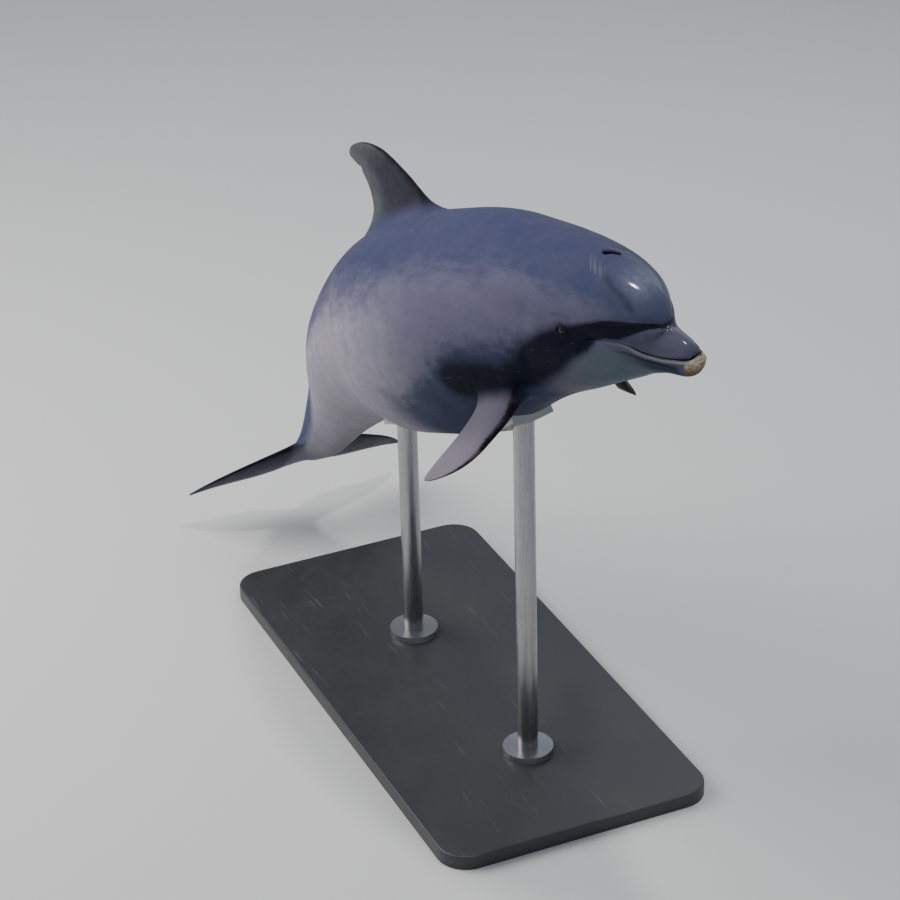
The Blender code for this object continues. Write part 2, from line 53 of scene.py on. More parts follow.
# the leap: how the backbone pitches, turns and rolls along s, the distance behind the snout
leap = {
    "snout": (0.88440, 0.14825, 1.25751),
    "length": 2.25,
    "pitch": ((0.00, 4.0), (0.12, 7.0), (0.35, 10.0), (0.68, 24.0), (0.95, 25.0),
              (1.12, 26.0), (1.32, 39.0), (1.55, 46.0), (1.90, 50.0), (2.25, 42.0)),
    "yaw": ((0.0, 15.0), (0.12, 15.0), (0.55, 10.0), (1.15, 0.0), (2.25, 0.0)),
    "bank": ((0.0, 9.0), (0.15, 5.0), (0.55, -2.0), (1.15, 1.0), (2.25, 1.0)),
}


def easeThrough(rows, at):
    # cubic through the (position, value) pairs that never overshoots
    x, y = np.array(rows, float).T[:2]
    step = np.diff(x)
    slope = np.diff(y) / step
    tangent = np.zeros_like(y)
    rising = slope[:-1] * slope[1:] > 0
    w1 = 2 * step[1:] + step[:-1]
    w2 = step[1:] + 2 * step[:-1]
    with np.errstate(divide="ignore", invalid="ignore"):
        mean = (w1 + w2) / (w1 / slope[:-1] + w2 / slope[1:])
    tangent[1:-1] = np.where(rising, mean, 0.0)
    tangent[0], tangent[-1] = slope[0], slope[-1]
    at = np.clip(at, x[0], x[-1])
    i = np.clip(np.searchsorted(x, at) - 1, 0, len(step) - 1)
    t = (at - x[i]) / step[i]
    return ((1 + 2 * t) * (1 - t) ** 2 * y[i] + t * (1 - t) ** 2 * step[i] * tangent[i]
            + t * t * (3 - 2 * t) * y[i + 1] + t * t * (t - 1) * step[i] * tangent[i + 1])


def ramp(value, start, end):
    # 0 up to start and 1 from end on
    return np.clip((value - start) / (end - start), 0, 1)


def hill(value, middle, width):
    return np.exp(-((value - middle) / width) ** 2)


def between(rows, at):
    # straight from one (position, value) pair to the next
    return np.interp(at, *np.array(rows).T)


class Backbone:
    # carries points between the room and the straight pose (s, left, up)
    def __init__(self):
        self.s = np.linspace(0, leap["length"], 473)
        pitch, yaw, bank = (np.radians(easeThrough(leap[k], self.s)) for k in ("pitch", "yaw", "bank"))
        self.forward = np.column_stack([np.cos(pitch) * np.cos(yaw), np.cos(pitch) * np.sin(yaw),
                                        np.sin(pitch)])
        level = np.column_stack([-np.sin(yaw), np.cos(yaw), 0 * yaw])
        above = np.cross(self.forward, level)
        self.left = level * np.cos(bank)[:, None] + above * np.sin(bank)[:, None]
        self.up = np.cross(self.forward, self.left)
        step = self.s[1] - self.s[0]
        walk = np.cumsum((self.forward[1:] + self.forward[:-1]) / 2 * step, axis=0)
        self.place = np.vstack([np.zeros(3), -walk]) + np.array(leap["snout"])

    def at(self, s, rows):
        return np.column_stack([np.interp(s, self.s, rows[:, k]) for k in range(3)])

    def beyond(self, s):
        # how far s lies past an end, below 0 ahead of the snout
        return np.minimum(s, 0) + np.maximum(s - leap["length"], 0)

    def bend(self, straight):
        s, y, z = np.atleast_2d(straight).T
        return (self.at(s, self.place) + self.at(s, self.left) * y[:, None]
                + self.at(s, self.up) * z[:, None] - self.at(s, self.forward) * self.beyond(s)[:, None])

    def straighten(self, points):
        points = np.atleast_2d(points)
        coarse = self.place[::8]
        gap = ((points[:, None, :] - coarse[None]) ** 2).sum(axis=2)
        s = self.s[::8][gap.argmin(axis=1)]
        for turn in range(14):
            off = points - self.at(s, self.place)
            s = s - 0.8 * ((off * self.at(s, self.forward)).sum(axis=1) + self.beyond(s))
        off = points - self.at(s, self.place)
        y = (off * self.at(s, self.left)).sum(axis=1)
        z = (off * self.at(s, self.up)).sum(axis=1)
        return np.column_stack([s, y, z])


backbone = Backbone()

skinMake = {
    "cutGap": 0.0009,        # a hidden cut's corners lie this near the neighbour
    "cutSag": 0.0030,        # and its middle this near, as the two sides fold differently
    "weld": 0.0007,
    "creaseWeld": 0.0042,    # the melon's first ring onto the beak's last
    "crease": 0.069,         # where the melon stands on the beak
    # where the lips meet: s and height, back to the corner of the mouth
    "mouth": ((0.000, 0.006), (0.028, 0.005), (0.060, 0.002), (0.089, 0.006), (0.112, 0.014),
              (0.131, 0.025), (0.152, 0.032), (0.176, 0.033), (0.212, 0.028), (0.310, 0.022)),
    "gape": 0.212,
    "lipCut": 0.0015,        # a face this near the mouth line all over is hidden in it
    "chinReach": 0.0145,     # how far the lower lip runs past the upper one
    "smallest": 0.0003,
    "swellTurns": 4,
    "swell": 0.8,
}


def addPiece(name, bm):
    mesh = bpy.data.meshes.new(name)
    bm.to_mesh(mesh)
    piece = bpy.data.objects.new(name, mesh)
    bpy.context.collection.objects.link(piece)
    return piece


def dropPiece(piece):
    mesh = piece.data
    bpy.data.objects.remove(piece)
    bpy.data.meshes.remove(mesh)


def eyeOf(side):
    # the middle and the radius of an eyeball
    low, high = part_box(f"eye_{side}")
    return (low + high) / 2, (high.x - low.x) / 2


def treeOf(name):
    mesh = nodes[name].data
    return BVHTree.FromPolygons([v.co for v in mesh.vertices],
                                [tuple(p.vertices) for p in mesh.polygons])


trees = {name: treeOf(name) for name in fleshNodes}


def straightOf(verts):
    return backbone.straighten(np.array([v.co for v in verts]))


def offMouth(straight):
    # height over the line where the lips meet
    return straight[:, 2] - easeThrough(skinMake["mouth"], straight[:, 0])


def isCut(face, name):
    # a face that only looks at a neighbour across a thin cut
    centre = face.calc_center_median()
    for other in fleshNodes:
        if other != name:
            near = trees[other].find_nearest(centre, skinMake["cutSag"])
            if near[0] is not None and near[1].dot(face.normal) < -0.7:
                if all(trees[other].find_nearest(v.co, skinMake["cutGap"])[0] for v in face.verts):
                    return True
    return False


def limbOf(name):
    # which limb a node is: its place in limbNames, from 1, and 0 for the body
    kind = name.replace("_left", "").replace("_right", "")
    return limbNames.index(kind) + 1 if kind in limbNames else 0


def outerSkin(name):
    # a copy of one node without its cuts and without the floor or roof of its mouth
    bm = bmesh.new()
    bm.from_mesh(nodes[name].data)
    bmesh.ops.remove_doubles(bm, verts=bm.verts, dist=1e-5)
    bm.normal_update()
    straight = straightOf(bm.verts)
    onLip = np.abs(offMouth(straight)) < skinMake["lipCut"]
    onLip &= straight[:, 0] < skinMake["gape"] + 0.001
    bm.verts.index_update()
    jaws = name in ("upper_beak", "lower_jaw", "head")
    hidden = [f for f in bm.faces
              if isCut(f, name) or (jaws and all(onLip[v.index] for v in f.verts))]
    bmesh.ops.delete(bm, geom=hidden, context="FACES")
    for f in bm.faces:
        f.material_index = limbOf(name)
    mesh = bpy.data.meshes.new(name + "Copy")
    bm.to_mesh(mesh)
    bm.free()
    return mesh


def openEyeSockets(bm):
    # takes out the sockets and every face that touches their rims
    for side in ("left", "right"):
        centre, radius = eyeOf(side)
        rim = [v for v in bm.verts if (v.co - centre).length < radius + 0.0016]
        faces = {f for v in rim for f in v.link_faces}
        bmesh.ops.delete(bm, geom=list(faces), context="FACES")
        loose = [v for v in bm.verts if not v.link_faces]
        bmesh.ops.delete(bm, geom=loose, context="VERTS")


def closeLips(bm):
    # the lower lip reaches past the upper one, so their edges are matched across
    edges = [v for v in bm.verts if any(len(e.link_faces) == 1 for e in v.link_edges)]
    straight = straightOf(edges)
    lip = [(v, p) for v, p, away in zip(edges, straight, offMouth(straight))
           if p[0] < skinMake["crease"] and abs(away) < 0.003]
    weld = {}
    for v, p in lip:
        for w, q in lip:
            ahead = q[0] - p[0]
            if 0.0001 < ahead < skinMake["chinReach"] and abs(p[1] - q[1]) < 0.0006:
                weld[v] = w
    bmesh.ops.weld_verts(bm, targetmap=weld)


def buildCage():
    bm = bmesh.new()
    for name in fleshNodes:
        mesh = outerSkin(name)
        bm.from_mesh(mesh)
        bpy.data.meshes.remove(mesh)
    openEyeSockets(bm)
    bmesh.ops.remove_doubles(bm, verts=bm.verts, dist=skinMake["weld"])
    verts = list(bm.verts)
    ring = [v for v, p in zip(verts, straightOf(verts))
            if abs(p[0] - skinMake["crease"]) < 0.0004 and p[2] > 0.008]
    bmesh.ops.remove_doubles(bm, verts=ring, dist=skinMake["creaseWeld"])
    ring = {v for v in ring if v.is_valid}
    inside = [f for f in bm.faces if ring.issuperset(f.verts)]
    bmesh.ops.delete(bm, geom=inside, context="FACES")
    closeLips(bm)
    bm.normal_update()
    bmesh.ops.join_triangles(bm, faces=bm.faces, angle_face_threshold=math.radians(60),
                             angle_shape_threshold=math.radians(80))
    return bm


def rounded(bm):
    # a Catmull-Clark copy, whose first vertices are the ones it was made from
    piece = addPiece("growing", bm)
    smooth = piece.modifiers.new("smooth", "SUBSURF")
    smooth.levels = smooth.render_levels = 1
    smooth.quality = 4
    graph = bpy.context.evaluated_depsgraph_get()
    grown = bmesh.new()
    grown.from_mesh(piece.evaluated_get(graph).to_mesh())
    dropPiece(piece)
    grown.verts.ensure_lookup_table()
    grown.normal_update()
    return grown


def growMesh(bm):
    grown = rounded(bm)
    bm.free()
    return grown


def swellCage(bm):
    # rounding draws a surface in, most of all at thin edges, so the cage is let out to match
    bm.verts.ensure_lookup_table()
    wanted = [v.co.copy() for v in bm.verts]
    for turn in range(skinMake["swellTurns"]):
        grown = rounded(bm)
        for v, goal, now in zip(bm.verts, wanted, grown.verts):
            v.co += (goal - now.co) * skinMake["swell"]
        grown.free()


mouthMake = {
    "near": 0.0022,          # a vertex this near the mouth line belongs to it
    "lipGap": 0.0017,        # half the width of the line between the lips
    "depth": 0.0048,
}


def tagLips(bm):
    # the vertices where the jaws meet, kept through the rounding
    lip = bm.verts.layers.float.new("lipLine")
    straight = straightOf(bm.verts)
    onLine = np.abs(offMouth(straight)) < mouthMake["near"]
    onLine &= straight[:, 0] < skinMake["gape"] + 0.003
    for v, yes in zip(bm.verts, onLine):
        v[lip] = float(yes)


def cutMouth(bm):
    lip = bm.verts.layers.float["lipLine"]
    line = [e for e in bm.edges if e.verts[0][lip] > 0.95 and e.verts[1][lip] > 0.95]
    made = bmesh.ops.bevel(bm, geom=line, offset=mouthMake["lipGap"], offset_type="OFFSET",
                           affect="EDGES", segments=2, profile=0.5, material=-1)
    strip = set(made["faces"])
    middle = [v for v in made["verts"] if v.link_faces and strip.issuperset(v.link_faces)]
    bm.normal_update()
    for v in bm.verts:
        v[lip] = 0.0
    for v in middle:
        v.co -= v.normal * mouthMake["depth"]
        v[lip] = 1.0
    print("mouth line:", len(line), "edges,", len(middle), "in the groove")


eyeMake = {
    # half length, half height, and how far outside the eyeball each ring of the lid stands
    "fold": ((0.0185, 0.0150, -0.0012), (0.0150, 0.0115, 0.0012)),
    "lid": ((0.0122, 0.0086, 0.0021), (0.0104, 0.0064, 0.0016), (0.0099, 0.0058, 0.0004),
            (0.0100, 0.0059, -0.0014), (0.0070, 0.0040, -0.0050)),
    "tilt": 8.0,
}

eyeFrames = {}               # for each side: middle, radius, outward, ahead, up


def inPairs(ring):
    return list(zip(ring, ring[1:] + ring[:1]))


def rimAround(bm, centre):
    # the open edge round one eye, as vertices in order
    edges = [e for e in bm.edges if e.is_boundary and (e.verts[0].co - centre).length < 0.06]
    first = edges[0].verts[0]
    rim, last = [first], edges[0]
    while True:
        step = last.other_vert(rim[-1])
        if step is first:
            return rim
        rim.append(step)
        last = next(e for e in step.link_edges if e.is_boundary and e is not last)


def shapeEyelids(bm, side):
    centre, radius = eyeOf(side)
    rim = rimAround(bm, centre)
    middle = sum((v.co for v in rim), Vector()) / len(rim)
    axis = sum(((a.co - middle).cross(b.co - middle) for a, b in inPairs(rim)), Vector())
    axis.normalize()
    within = backbone.bend((backbone.straighten(middle)[0][0], 0, 0.04))[0]
    if axis.dot(middle - Vector(within)) < 0:
        axis = -axis
    ahead = Vector(backbone.bend((0.20, 0, 0))[0] - backbone.bend((0.30, 0, 0))[0])
    ahead = (ahead - axis * ahead.dot(axis)).normalized()
    above = axis.cross(ahead)
    if above.z < 0:
        above = -above
    lean = math.radians(eyeMake["tilt"])
    ahead, above = (ahead * math.cos(lean) - above * math.sin(lean),
                    above * math.cos(lean) + ahead * math.sin(lean))
    eyeFrames[side] = (centre, radius, axis, ahead, above)
    turns = [math.atan2((v.co - centre).dot(above), (v.co - centre).dot(ahead)) for v in rim]
    way = 1 if sum(math.sin(b - a) for a, b in inPairs(turns)) > 0 else -1
    even = [turns[0] + way * k * math.tau / len(rim) for k in range(len(rim))]
    drift = [math.remainder(t - e, math.tau) for t, e in zip(turns, even)]
    start = sum(drift) / len(drift)
    even = [e + start for e in even]
    rings = eyeMake["fold"] + eyeMake["lid"]
    for count, (long, high, stand) in enumerate(rings, 1):
        edges = [next(e for e in a.link_edges if e.other_vert(a) is b) for a, b in inPairs(rim)]
        made = bmesh.ops.extrude_edge_only(bm, edges=edges)["geom"]
        fresh = {v for v in made if isinstance(v, bmesh.types.BMVert)}
        rim = [next(e.other_vert(v) for e in v.link_edges if e.other_vert(v) in fresh) for v in rim]
        share = min(count / 3, 1)
        for v, turn, goal in zip(rim, turns, even):
            angle = goal + math.remainder(turn - goal, math.tau) * (1 - share)
            off = ahead * (long * math.cos(angle)) + above * (high * math.sin(angle))
            reach = radius + stand
            rise = math.sqrt(max(reach ** 2 - off.length_squared, 0.0))
            if count <= len(eyeMake["fold"]):
                rise = (middle - centre).dot(axis) + stand
            v.co = centre + off + axis * rise
    bmesh.ops.contextual_create(bm, geom=rim)


def tagLimbs(bm):
    # how far out along its limb each vertex lies, 0 on the body to 1 at the tip, and where
    # between the limb's leading edge, 0, and its trailing edge, 1
    reach = bm.verts.layers.float.new("limbReach")
    chord = bm.verts.layers.float.new("limbChord")
    kinds = [bm.verts.layers.float.new(name) for name in limbNames]
    depth = {}
    for v in bm.verts:
        limbs = {f.material_index for f in v.link_faces}
        if 0 in limbs or len(limbs) > 1:
            depth[v] = 0
        v[chord] = 0.5
    queue = [v for v in depth if any(f.material_index for f in v.link_faces)]
    for v in queue:          # which grows as it is read
        for step in (e.other_vert(v) for e in v.link_edges):
            if step not in depth:
                depth[step] = depth[v] + 1
                queue.append(step)
    rings = {}
    for v, far in depth.items():
        if far:
            kind = v.link_faces[0].material_index
            side = v.co.y > leap["snout"][1] - 0.1
            rings.setdefault((kind, far, side if kind > 1 else 0), []).append(v)
    most = {kind: max(key[1] for key in rings if key[0] == kind) for kind in (1, 2, 3)}
    for (kind, far, side), verts in rings.items():
        along = straightOf(verts)[:, 0]
        span = max(along.max() - along.min(), 1e-4)
        for v, s in zip(verts, along):
            v[reach] = far / most[kind]
            v[chord] = (s - along.min()) / span
            v[kinds[kind - 1]] = far / most[kind]
    for f in bm.faces:
        f.material_index = 0


def tidyRing(bm):
    # where the beak's and the head's rings ran together
    s = straightOf([e.verts[0] for e in bm.edges])[:, 0]
    ring = [e for e, at in zip(bm.edges, s) if abs(at - skinMake["crease"]) < 0.005]
    bmesh.ops.dissolve_degenerate(bm, dist=skinMake["smallest"], edges=ring)


def settleOrder(bm):
    # the lids' edges and faces come in another order each run, and this gives them one
    bm.verts.index_update()
    for parts in (bm.edges, bm.faces):
        parts.sort(key=lambda part: sum(at * 1e5 ** (2 - k) for k, at
                                        in enumerate(sorted(v.index for v in part.verts)[:3])))


def settleVerts(bm):
    # puts the vertices in the order of the faces
    turn = {}
    for f in bm.faces:
        for v in f.verts:
            turn.setdefault(v, len(turn))
    bm.verts.sort(key=turn.get)


skin = buildCage()
tagLips(skin)
tagLimbs(skin)
swellCage(skin)
skin = growMesh(skin)
tidyRing(skin)
cutMouth(skin)
for side in ("left", "right"):
    shapeEyelids(skin, side)
settleOrder(skin)
bmesh.ops.recalc_face_normals(skin, faces=skin.faces)


def unwrap(bm):
    # a flat layout for bakes, made while the mesh is coarse
    bm.loops.layers.uv.new("OFBake")
    piece = addPiece("unwrapping", bm)
    bm.free()
    bpy.context.view_layer.objects.active = piece
    piece.select_set(True)
    bpy.ops.object.mode_set(mode="EDIT")
    bpy.ops.mesh.select_all(action="SELECT")
    bpy.ops.uv.smart_project(angle_limit=math.radians(66), island_margin=0.002)
    bpy.ops.object.mode_set(mode="OBJECT")
    flat = bmesh.new()
    flat.from_mesh(piece.data)
    dropPiece(piece)
    return flat


skin = unwrap(skin)
skin = growMesh(skin)
print("skin:", len(skin.faces), "faces,", sum(not e.is_manifold for e in skin.edges), "open edges")

# the small forms are placed in the straight pose: s, out to the side, up
blowhole = {
    "s": 0.238, "y": 0.013,  # where the slit lies, a little left of the ridge
    "halfWidth": 0.0185,
    "forward": 0.006,        # how far its horns reach ahead of its middle
    "slant": 0.62,           # and the left one ahead of the right
    "gap": 0.0060,           # half the slit
    "depth": 0.0115,
    "plug": 0.0014,          # the swelling in front of the slit
    "rim": 0.0012,           # and the rim behind it
    "plugAway": 0.0075, "plugHalf": 0.0058,
    "ends": 0.16,            # the share of its length that fades out at each end
}


def inMetres(forms):
    return {name: [np.array(part) / 1000 for part in form] for name, form in forms.items()}


# path, half width and depth in millimetres; each is on both sides
creases = inMetres({
    "melonFoot": (((79, -24, 61), (73, -14, 57), (70, 0, 55.5), (73, 14, 57), (79, 24, 61),
        (91, 36, 64), (108, 51, 68), (124, 62, 70), (144, 77, 73), (170, 92, 73), (200, 103, 67)),
        5, 5.8),
    "gapeFold": (((196, 101, 30), (212, 107, 24), (226, 112, 12), (234, 113, -4)), 3.2, 1.4),
    "lowerLip": (((12, 23, -14), (40, 34, -17), (69, 39, -16), (100, 54, -8), (131, 71, 6),
        (165, 86, 13)), 3, 1.3),
    "browFold": (((232, 117, 66), (250, 122, 75), (272, 127, 76), (292, 131, 68)), 4.2, 1),
    "bagFold": (((240, 117, 22), (262, 121, 14), (286, 126, 18)), 3.6, 1),
    "neckFold": (((345, 118, 118), (358, 149, 50), (366, 148, -30), (372, 110, -110)), 11, 1.4),
    "shoulderFold": (((392, 166, -20), (404, 154, -78), (416, 118, -130)), 9, 1.3),
    "navel": (((1000, 0, -270), (1018, 0, -270)), 6, 3),
    "ventralSlit": (((1430, 0, -190), (1500, 0, -175)), 3, 4.2),
    "ear": (((318, 137, 38), (320, 137, 38)), 2, 1.2),
})

# forms of the right side alone, as the head turns: path, half width and height in millimetres
rightForms = inMetres({
    "melonFlank": (((212, 36, 160), (203, 40, 157), (184, 46, 147), (163, 51, 134),
        (148, 51, 124), (137, 48, 117), (125, 49, 104), (113, 47, 91), (104, 43, 80)), 7.8, -2.3),
    "beakShoulder": (((48, 22, 36), (64, 24, 41), (72, 26, 42), (78, 30, 41), (85, 35, 38),
        (95, 42, 34), (110, 51, 31), (130, 64, 30), (160, 82, 34), (200, 99, 34)), 10.5, 3.8),
    "creaseHeel": (((60, 8, 51), (69, 13, 51), (76, 20, 51), (84, 28, 49), (94, 38, 48),
        (110, 50, 46)), 7.5, 3.4),
    "melonFront": (((78, 0, 82), (90, 30, 82), (112, 50, 84), (140, 70, 88)), 11, 1.2),
})

wrinkles = {
    # fine lines that run down the nape beside the blowhole
    "first": ((0.268, 0.017, 0.178), (0.247, 0.038, 0.170), (0.226, 0.056, 0.158)),
    "step": (-0.0078, 0.0, -0.0022),
    # how many steps each lies from the first, and how strong it is
    "lines": ((0.0, 0.7), (0.7, 0.4), (1.6, 1.0), (2.3, 0.5), (3.6, 0.9), (4.3, 0.6), (5.7, 0.5)),
    "width": 0.0021,
    "depth": 0.0018,
}

finNick = {
    "s": 1.219, "height": 0.158,   # in the fin's trailing edge
    "half": 0.0060,
    "depth": 0.0095,
}


def awayFrom(path, points):
    # the gap from each point to a path, and how far along the path it is, 0 to 1
    path = np.array(path, float)
    lengths = np.linalg.norm(np.diff(path, axis=0), axis=1)
    starts = np.concatenate([[0.0], np.cumsum(lengths)]) / lengths.sum()
    gap = np.full(len(points), np.inf)
    share = np.zeros(len(points))
    for a, b, low, high in zip(path, path[1:], starts, starts[1:]):
        t = np.clip(((points - a) @ (b - a)) / ((b - a) @ (b - a)), 0, 1)
        away = np.linalg.norm(points - a - t[:, None] * (b - a), axis=1)
        share = np.where(away < gap, low + t * (high - low), share)
        gap = np.minimum(gap, away)
    return gap, share


def fadeEnds(share, ends=0.22):
    t = np.clip(np.minimum(share, 1 - share) / ends, 0, 1)
    return t * t * (3 - 2 * t)


def stroke(path, width, points):
    # soft, 1 on the path to 0 away from it
    gap, share = awayFrom(path, points)
    return hill(gap, 0, width) * fadeEnds(share)


def onRight(path, width, straight):
    return stroke(path, width, straight * (1, -1, 1))


def bothSides(path, width, straight):
    return np.maximum(stroke(path, width, straight), onRight(path, width, straight))


def slitOf(straight):
    # gap to the blowhole's slit and place along it, seen from above
    side = np.linspace(-1, 1, 13)
    across = blowhole["halfWidth"] * side
    path = np.column_stack([blowhole["s"] - blowhole["forward"] * side ** 2
                            - blowhole["slant"] * across, blowhole["y"] + across, 0 * side])
    gap, share = awayFrom(path, straight * (1, 1, 0))
    return np.where(straight[:, 2] > 0.12, gap, 1.0), share


def thicken(bm, chosen):
    # finer faces where the small forms are
    verts = list(bm.verts)
    near = {v for v, yes in zip(verts, chosen(straightOf(verts))) if yes}
    edges = [e for e in bm.edges if e.verts[0] in near and e.verts[1] in near]
    bmesh.ops.subdivide_edges(bm, edges=edges, cuts=1, use_grid_fill=True, smooth=0.0)


def eyeGap(straight):
    eyes = [backbone.straighten(np.array(eyeOf(side)[0])) for side in ("left", "right")]
    return np.minimum(*(np.linalg.norm(straight - eye, axis=1) for eye in eyes))


def besideMouth(straight):
    return np.where(straight[:, 0] < skinMake["gape"] + 0.012, offMouth(straight), 1.0)


def wrinklePath(k):
    return np.array(wrinkles["first"]) + k * np.array(wrinkles["step"])


finer = {
    # how near each form the three rounds of finer faces reach
    "slit": (0.022, 0.014, 0.0065),
    "mouth": (0.012, 0.0045, 0.0),
    "eye": (0.030, 0.0205, 0.0),
    "tip": 0.022,            # the first round takes in the beak's tip as well,
    "narrow": 0.008,         # the creases under this half width
    "wrinkle": 0.008,        # and the nape's wrinkles
}


def nearForms(straight, turn):
    near = ((slitOf(straight)[0] < finer["slit"][turn]) | (eyeGap(straight) < finer["eye"][turn])
            | (np.abs(besideMouth(straight)) < finer["mouth"][turn]))
    if turn == 0:
        near |= straight[:, 0] < finer["tip"]
        points = np.column_stack([straight[:, 0], np.abs(straight[:, 1]), straight[:, 2]])
        for path, width, depth in (*creases.values(), rightForms["melonFlank"]):
            if width < finer["narrow"]:
                near |= awayFrom(path, points)[0] < 2.0 * width + 0.005
        for k, strength in wrinkles["lines"]:
            near |= awayFrom(wrinklePath(k), points)[0] < finer["wrinkle"]
    return near


for turn in range(3):
    thicken(skin, lambda straight: nearForms(straight, turn))
skin.normal_update()
print("skin after thickening:", len(skin.faces), "faces")

beakFoot = {
    # between the lip and the crease the beak runs evenly into the head, and its tip is even too
    "from": 0.052, "to": 0.106,
    "above": 0.010,          # over the mouth line
    "limit": ((0.050, 0.046), (0.069, 0.0505), (0.077, 0.054), (0.091, 0.056), (0.106, 0.052)),
    "turns": 16,
    "tip": 0.024, "tipReach": 0.010,
    "tipTurns": 9,
}

tailEnd = {
    # one notch between the flukes
    "from": 2.190,
    # how far out to each side, and how many turns: fewer outwards, so that no corner is left
    "passes": ((0.100, 24), (0.118, 9), (0.136, 6), (0.154, 4), (0.172, 3)),
    "start": 2.130, "full": 2.240,
    "half": 0.034,
    "depth": 0.048,
}


def evenOut(bm, chosen, turns):
    inside = [v for v, yes in zip(bm.verts, chosen(straightOf(bm.verts))) if yes]
    for turn in range(turns):
        bmesh.ops.smooth_vert(bm, verts=inside, factor=0.5, use_axis_x=True, use_axis_y=True,
                              use_axis_z=True)


def atFoot(straight):
    s, y, z = straight.T
    return ((s > beakFoot["from"]) & (s < beakFoot["to"]) & (z < between(beakFoot["limit"], s))
            & (besideMouth(straight) > beakFoot["above"]))


evenOut(skin, atFoot, beakFoot["turns"])
evenOut(skin, lambda p: (p[:, 0] < beakFoot["tip"]) & (np.abs(besideMouth(p)) < beakFoot["tipReach"]),
        beakFoot["tipTurns"])
for out, turns in tailEnd["passes"]:
    evenOut(skin, lambda p: (p[:, 0] > tailEnd["from"]) & (np.abs(p[:, 1]) < out), turns)
skin.normal_update()

reliefMake = {
    # the rolls of the lips: place beside the mouth line, half width and height
    "lips": ((-0.0075, 0.0040, 0.0012), (0.0065, 0.0036, 0.0008)),
    "lipRun": (0.205, 0.155),    # they fade out from here to there
    "lipShade": 0.0022,      # how far the dark between the lips spreads at the tip
    # forms narrower than this get painted shade, by so much of depth to width, and folds by so much
    "narrow": 0.007, "dark": 2.5, "foldDark": 1.7,
    # where the painted highlight beside each wrinkle lies, on its ridge
    "pale": 0.4,             # a wrinkle's pale side, in steps from it
    "eyeClear": (0.017, 0.029),
    # an unevenness of the whole skin: how close its waves are, and how strong
    "waves": ((9.0, 0.00055), (31.0, 0.00022)),
    "finRoot": ((0.865, 0.236), (1.065, 0.232), (1.260, 0.208)),
    "finRear": 1.24,
}


def carve(bm):
    straight = straightOf(bm.verts)
    s, y, z = straight.T
    move, shade, pale = np.zeros((3, len(s)))
    for path, width, depth in creases.values():
        form = bothSides(path, width, straight)
        move -= depth * form
        # narrow creases get painted shade
        if width < reliefMake["narrow"]:
            shade = np.maximum(shade, form * min(reliefMake["dark"] * depth / width, 1))
    for path, width, height in rightForms.values():
        form = onRight(path, width, straight)
        move += height * form
        # and folds get painted shade
        shade = np.maximum(shade, form * max(-reliefMake["foldDark"] * height / width, 0))
    for k, strength in wrinkles["lines"]:
        move -= strength * wrinkles["depth"] * bothSides(wrinklePath(k), wrinkles["width"], straight)
        # a painted highlight beside each wrinkle, where its ridge would catch the light
        beside = bothSides(wrinklePath(k + reliefMake["pale"]), wrinkles["width"], straight)
        pale = np.maximum(pale, strength * beside)
    off = besideMouth(straight)
    # painted shade between the lips at the beak's tip
    shade = np.maximum(shade, hill(off, 0, reliefMake["lipShade"]) * ramp(s, 0.030, 0.020))
    along = ramp(s, 0, 0.02) * ramp(s, *reliefMake["lipRun"])
    for beside, width, height in reliefMake["lips"]:
        move += height * hill(off, beside, width) * along

    gap, share = slitOf(straight)
    ends = fadeEnds(share, blowhole["ends"])
    slit = hill(gap, 0, blowhole["gap"]) * ends
    ahead = (blowhole["s"] - blowhole["forward"] * (2 * share - 1) ** 2
             - blowhole["slant"] * (y - blowhole["y"]) - s)
    plug = hill(gap, blowhole["plugAway"], blowhole["plugHalf"]) * ends
    move += np.where(ahead > 0, blowhole["plug"], blowhole["rim"]) * plug * (1 - slit)
    move -= blowhole["depth"] * slit

    ripple = np.array([sum(height * noise.noise(v.co * close) for close, height in reliefMake["waves"])
                       for v in bm.verts])
    body = np.array([1 - v[bm.verts.layers.float["limbReach"]] for v in bm.verts])
    eyes = ramp(eyeGap(straight), *reliefMake["eyeClear"])
    move = move * eyes + ripple * body * eyes * np.clip(s / 0.1, 0.15, 1)

    height = z - between(reliefMake["finRoot"], s)
    nick = hill(height, finNick["height"], finNick["half"]) * finNick["depth"]
    nick *= ramp(s, finNick["s"] - 0.012, finNick["s"] - 0.002) * (s < reliefMake["finRear"])
    notch = hill(y, 0, tailEnd["half"]) * tailEnd["depth"] * ramp(s, tailEnd["start"], tailEnd["full"])
    forward = backbone.at(s, backbone.forward) * (nick + notch)[:, None]
    for v, push, shift in zip(bm.verts, move, forward):
        v.co += v.normal * float(push) + Vector(shift)
    return {"slit": slit, "shade": shade, "wrinkle": pale}


faceBand = {
    # the dark stripe from the beak's foot past the eye to the flipper, painted darker as the shade under
    # the melon's overhang: path and half widths, in mm
    "path": ((76, 20, 60), (91, 37, 63), (106, 50, 61), (123, 61, 57), (143, 73, 53),
        (170, 87, 55), (197, 100, 50), (225, 113, 30), (262, 122, 13), (300, 133, -13),
        (345, 138, -46), (390, 136, -85), (450, 143, -110), (520, 150, -112), (610, 166, -112)),
    "half": (4.5, 6, 8, 12, 17, 17.5, 20, 30, 37, 46.5, 51, 46, 46, 50, 54),
}


markMake = {
    # the height that the girth is measured round, and how high the beak's own colour reaches
    "middle": ((0, 0), (0.07, 0.02), (0.163, 0.035), (0.29, 0.028), (0.465, 0.008),
               (0.865, -0.017), (1.26, -0.012), (1.62, 0.001), (2.25, 0)),
    "beakTop": ((0.069, 0.057), (0.077, 0.060), (0.091, 0.059), (0.110, 0.052), (0.127, 0.042),
                (0.150, 0.037), (0.180, 0.031)),
}


